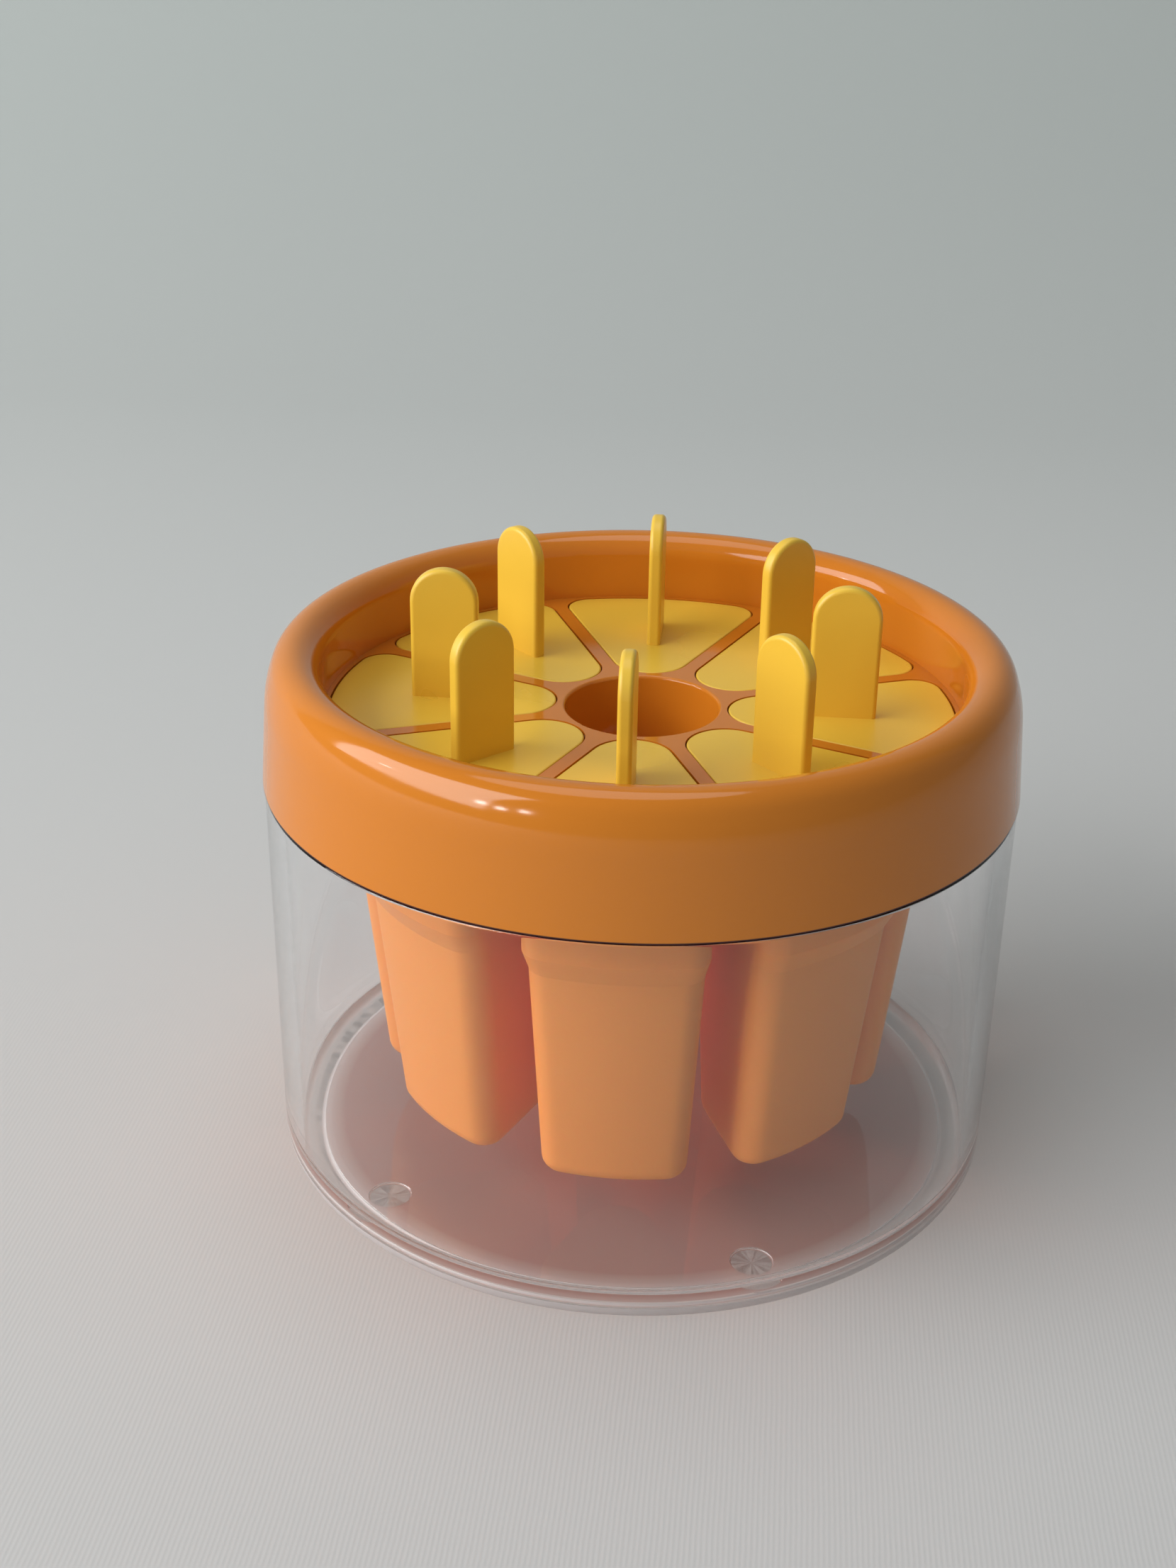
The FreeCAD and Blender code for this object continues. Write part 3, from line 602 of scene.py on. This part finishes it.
class ICEPOP_OT_stick_lids(bpy.types.Operator):
    """Yellow plastic for the lids and their sticks"""
    bl_idname = "icepop.stick_lids"
    bl_label = "Stick lids"

    def execute(self, context):
        yellow = new_material("yellow_lid_plastic", context.scene.ice_pop_lids.colour, IOR=1.5)
        moulded_finish(yellow, scale=1100.0, depth=0.00002, rough_low=0.26, rough_high=0.36)
        for name in nodes_called("stick_lid"):
            dress(name, yellow)
        return {"FINISHED"}


def add_lamp(name, place, target, width, power, height=None):
    """An area lamp that faces a point: a disk, or a rectangle if it has a height, in metres."""
    clear_selection()
    bpy.ops.object.light_add(type="AREA", location=place)
    lamp = bpy.context.object
    lamp.name = lamp.data.name = name
    lamp.data.shape = "RECTANGLE" if height else "DISK"
    lamp.data.size = width
    if height:
        lamp.data.size_y = height
    lamp.data.energy = power
    aim = Vector(target) - Vector(place)
    lamp.rotation_euler = aim.to_track_quat("-Z", "Y").to_euler()
    return lamp


class ICEPOP_OT_stage(bpy.types.Operator):
    """Pale floor and backdrop, soft lamps and the camera"""
    bl_idname = "icepop.stage"
    bl_label = "Studio stage"

    def execute(self, context):
        settings = context.scene.ice_pop_stage
        self.add_sweep(settings)
        self.add_world(context, settings)
        self.add_lamps()
        self.add_camera(context, settings)
        context.scene.view_settings.view_transform = "Standard"
        return {"FINISHED"}

    def add_sweep(self, settings):
        """A cloth that lies on the table and goes up behind the object in one bend."""
        width, depth, middle, height, bend = 6, 3.6, -0.3, 3.0, 0.9
        clear_selection()
        bpy.ops.mesh.primitive_plane_add(size=1, location=(0, 0, 0))
        sweep = bpy.context.object
        sweep.name = sweep.data.name = "studio_sweep"
        bpy.ops.object.mode_set(mode="EDIT")
        bpy.ops.mesh.select_all(action="SELECT")
        bpy.ops.transform.resize(value=(width, depth, 1))
        bpy.ops.transform.translate(value=(0, middle, 0))
        bpy.ops.object.mode_set(mode="OBJECT")
        for vertex in sweep.data.vertices:
            vertex.select = vertex.co.y > 0
        for edge in sweep.data.edges:
            edge.select = all(sweep.data.vertices[i].select for i in edge.vertices)
        for face in sweep.data.polygons:
            face.select = False
        bpy.ops.object.mode_set(mode="EDIT")
        bpy.ops.mesh.select_mode(type="EDGE")
        bpy.ops.mesh.extrude_region_move(TRANSFORM_OT_translate={"value": (0, 0, height)})
        bpy.ops.object.mode_set(mode="OBJECT")
        for edge in sweep.data.edges:
            ends = [sweep.data.vertices[i].co for i in edge.vertices]
            edge.select = all(end.y > 1 and end.z < 0.01 for end in ends)
        bpy.ops.object.mode_set(mode="EDIT")
        bpy.ops.mesh.bevel(offset=bend, segments=24)
        bpy.ops.object.mode_set(mode="OBJECT")
        if len(sweep.data.polygons) < 24:
            raise RuntimeError("the sweep came out without its bend")
        sweep.data.materials.append(self.cloth(settings))
        smooth(sweep, 30)

    def cloth(self, settings):
        """Woven cloth that takes on the backdrop's colour towards the back."""
        cloth = new_material("pale_sweep", settings.floor, Roughness=0.85)
        place = node(cloth, "ShaderNodeTexCoord")
        split = node(cloth, "ShaderNodeSeparateXYZ")
        link(cloth, place, "Object", split, "Vector")
        fade = ramp(cloth, -0.1, 1.3)
        fade.interpolation_type = "SMOOTHSTEP"
        link(cloth, split, "Y", fade, "Value")
        mix_colours(cloth, fade, settings.floor, settings.backdrop)
        self.weave(cloth, place, split)
        return cloth

    def weave(self, cloth, place, split):
        """Fine ribs in the cloth, one to a millimetre, that fade out towards the back."""
        ribs = node(cloth, "ShaderNodeTexWave", Scale=330.0, Distortion=1.2, Detail=1.0,
                    Detail_Scale=0.3)
        link(cloth, place, "Object", ribs, "Vector")
        near = ramp(cloth, -0.16, 0.1, 0.35, 0.0)
        link(cloth, split, "Y", near, "Value")
        bump = node(cloth, "ShaderNodeBump", Distance=0.00004)
        link(cloth, near, "Result", bump, "Strength")
        link(cloth, ribs, "Fac", bump, "Height")
        link(cloth, bump, "Normal", shader_of(cloth), "Normal")

    def add_world(self, context, settings):
        """A dim cool room, which the camera and clear plastic see in the backdrop's colour."""
        world = bpy.data.worlds.new("soft_room")
        context.scene.world = world
        world.use_nodes = True
        room = world.node_tree.nodes["Background"]
        room.inputs["Color"].default_value = (0.93, 0.98, 1.0, 1.0)
        room.inputs["Strength"].default_value = 0.23
        walls = node(world, "ShaderNodeBackground", Color=settings.backdrop)
        split_rays(world, ("Camera", "Transmission"), room, walls,
                   world.node_tree.nodes["World Output"])

    def add_lamps(self):
        """A window to the left, a soft ceiling, the rim's sparkles and a glow between the wells."""
        add_lamp("window_lamp", (-2.3, -1.0, 1.35), (0, 0, 0.06), width=3.0, power=92, height=2.1)
        add_lamp("ceiling_lamp", (-0.2, 0.3, 2.4), (0, 0.1, 0.0), width=1.6, power=10)
        pane_reach, rim_height = 3.2, 0.11
        for number, (turn, lift) in enumerate(PANES):
            turn, lift = math.radians(turn), math.radians(lift)
            place = Vector((math.cos(turn) * math.cos(lift), math.sin(turn) * math.cos(lift),
                            math.sin(lift))) * pane_reach
            add_lamp("pane_%d" % number, place, (0, 0, rim_height), width=0.16, power=1.3,
                     height=0.1)
        # Stands for the light that comes through the orange plastic, so it is not seen itself.
        glow = add_lamp("glow_between_wells", (0, 0, 0.072), (0, 0, 0), width=0.03, power=0.012)
        glow.data.color = (1.0, 0.3, 0.15)
        for kind in ("camera", "glossy", "transmission"):
            setattr(glow, "visible_" + kind, False)

    def add_camera(self, context, settings):
        """The camera of the photo, fitted to the outlines of the rim, the base and the sticks."""
        clear_selection()
        bpy.ops.object.camera_add()
        camera = bpy.context.object
        camera.name = camera.data.name = "photo_camera"
        tilt, turn, roll = (math.radians(v) for v in (25.164, 5.25, 0.866))
        reach = 0.436084
        target = Vector((-11.15 * MM, 0, 79.679 * MM))
        forward = Vector((0, math.cos(tilt), -math.sin(tilt)))
        spin = Matrix.Rotation(turn, 3, "Z")
        target, forward = spin @ target, spin @ forward
        right = forward.cross(Vector((0, 0, 1))).normalized()
        up = right.cross(forward)
        level_right = right * math.cos(roll) + up * math.sin(roll)
        level_up = up * math.cos(roll) - right * math.sin(roll)
        turned = Matrix((level_right, level_up, -forward)).transposed()
        camera.matrix_world = Matrix.Translation(target - forward * reach) @ turned.to_4x4()
        camera.data.sensor_fit = "VERTICAL"
        camera.data.sensor_height = 36
        camera.data.lens = settings.lens
        camera.data.clip_start = 0.01
        camera.data.clip_end = 20
        context.scene.camera = camera


class ICEPOP_PT_panel(bpy.types.Panel):
    """Lists the steps of the scene"""
    bl_idname = "ICEPOP_PT_panel"
    bl_label = "Ice pop mould"
    bl_space_type = "VIEW_3D"
    bl_region_type = "UI"
    bl_category = "Ice Pop"

    def draw(self, context):
        for step in STEPS:
            self.layout.operator(step.bl_idname)
        for group in ("ice_pop_jar", "ice_pop_mould", "ice_pop_lids", "ice_pop_stage"):
            settings = getattr(context.scene, group)
            box = self.layout.box()
            for name in settings.__annotations__:
                box.prop(settings, name)


GROUPS = {
    "ice_pop_jar": JarSettings,
    "ice_pop_mould": MouldSettings,
    "ice_pop_lids": LidSettings,
    "ice_pop_stage": StageSettings,
}
STEPS = (ICEPOP_OT_stage, ICEPOP_OT_clear_jar, ICEPOP_OT_mould_ring, ICEPOP_OT_ice_wells,
         ICEPOP_OT_stick_lids)


def register():
    for group in GROUPS.values():
        bpy.utils.register_class(group)
    for name, group in GROUPS.items():
        setattr(bpy.types.Scene, name, PointerProperty(type=group))
    for step in STEPS:
        bpy.utils.register_class(step)
    bpy.utils.register_class(ICEPOP_PT_panel)


def unregister():
    bpy.utils.unregister_class(ICEPOP_PT_panel)
    for step in reversed(STEPS):
        bpy.utils.unregister_class(step)
    for name in GROUPS:
        delattr(bpy.types.Scene, name)
    for group in reversed(GROUPS.values()):
        bpy.utils.unregister_class(group)


def main():
    register()
    for step in STEPS:
        place, name = step.bl_idname.split(".")
        getattr(getattr(bpy.ops, place), name)()


if __name__ == "__main__":
    main()
